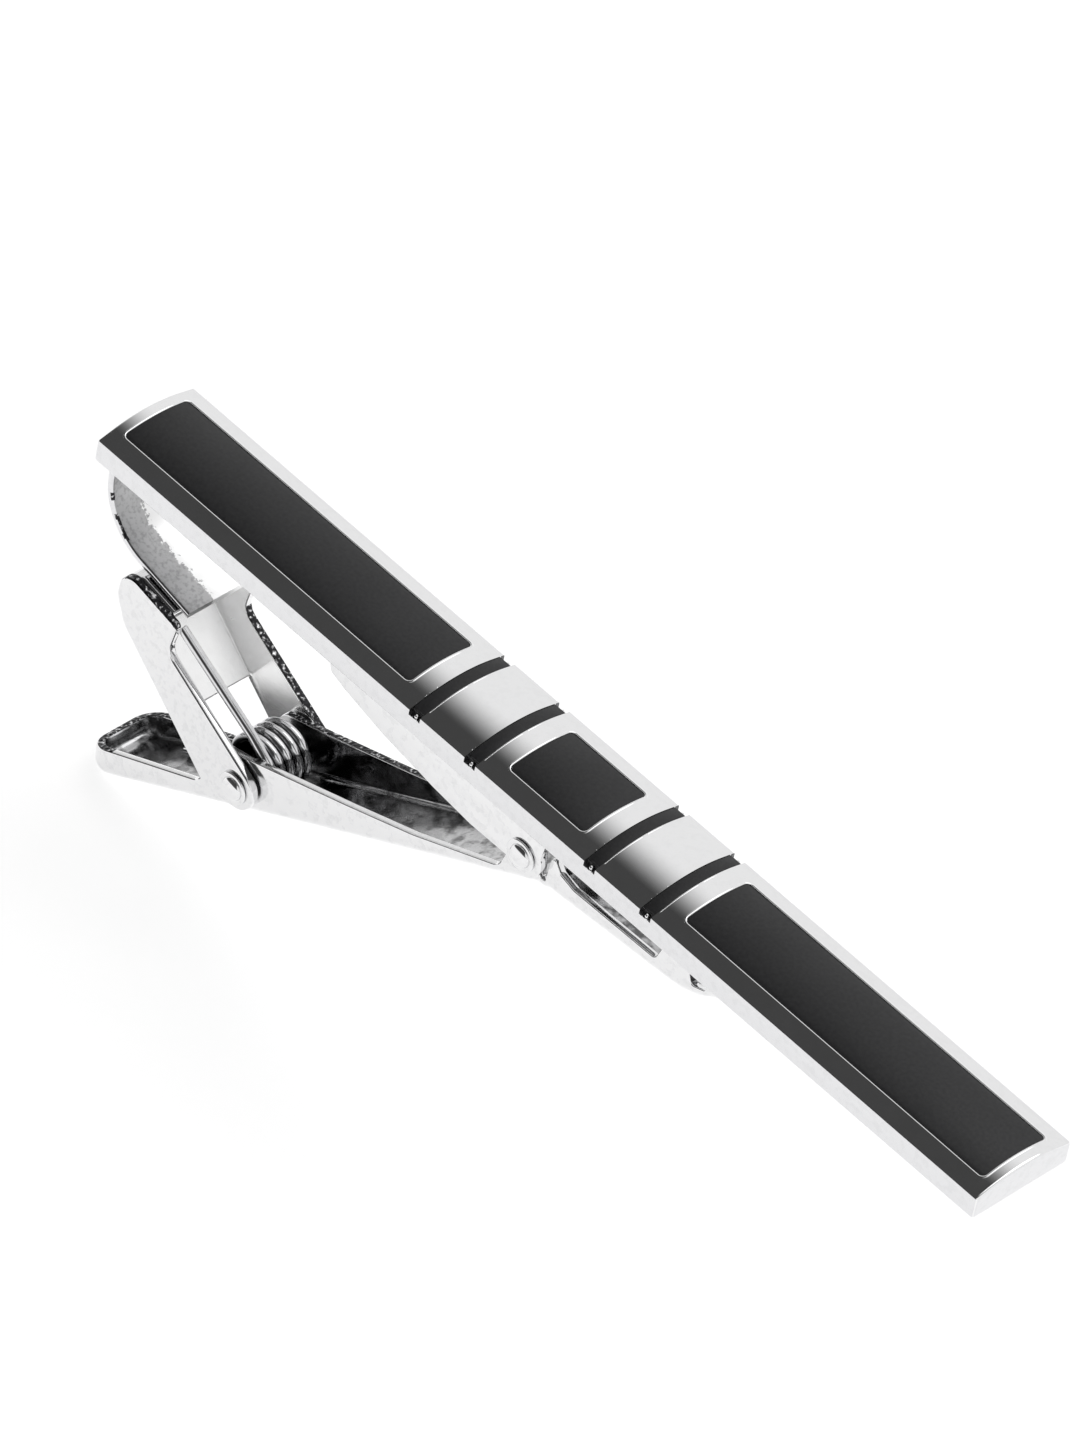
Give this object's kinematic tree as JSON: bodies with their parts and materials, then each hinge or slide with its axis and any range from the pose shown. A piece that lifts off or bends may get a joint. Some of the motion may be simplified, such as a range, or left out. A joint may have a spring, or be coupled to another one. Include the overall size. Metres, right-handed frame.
{
  "type": "tie clip",
  "caption": "Slim arched tie bar with inlaid dark panels and stripes and a spring-loaded pinch clasp underneath that grips a tie and shirt placket.",
  "frame": {"origin": "centre of the bar's flat back, the face that lies on the tie", "axes": "+X along the bar from the thumb end of the clasp to its jaw end, +Y across the bar, +Z out of the decorated face"},
  "size_m": [0.058, 0.006, 0.0206],
  "materials": {
    "polished_plating": "mirror-polished rhodium plating",
    "clasp_plating": "plated pressed sheet, bright faces and coarse sheared edges",
    "spring_steel": "bright drawn wire",
    "dark_enamel": "hard dark charcoal enamel, semi-gloss"
  },
  "bodies": {
    "bar": {"bar": "polished_plating", "enamel_panel_left": "dark_enamel", "enamel_panel_centre": "dark_enamel", "enamel_panel_right": "dark_enamel", "enamel_stripe_outer_left": "dark_enamel", "enamel_stripe_inner_left": "dark_enamel", "enamel_stripe_inner_right": "dark_enamel", "enamel_stripe_outer_right": "dark_enamel", "clasp_bracket": "clasp_plating", "main_pivot_pin": "clasp_plating"},
    "lever": {"clasp_lever": "clasp_plating", "brace_pivot_pin": "clasp_plating", "torsion_spring": "spring_steel"},
    "brace": {"clasp_brace": "clasp_plating"}
  },
  "joints": [
    {"name": "lever_pivot", "type": "hinge", "parent": "bar", "child": "lever", "pos_m": [-0.00025, 0, -0.00185], "axis": [0, 1, 0], "range_deg": [0, 14], "stiffness_Nm_per_rad": 0.03, "springref_deg": -17.19},
    {"name": "brace_pivot", "type": "hinge", "parent": "lever", "child": "brace", "pos_m": [-0.0174, 0, -0.012], "axis": [0, 1, 0], "range_deg": [-45, 0], "deforming": ["torsion_spring"]}
  ],
  "couplings": [
    {"joint": "brace_pivot", "follows": "lever_pivot", "ratio": -3.2}
  ]
}
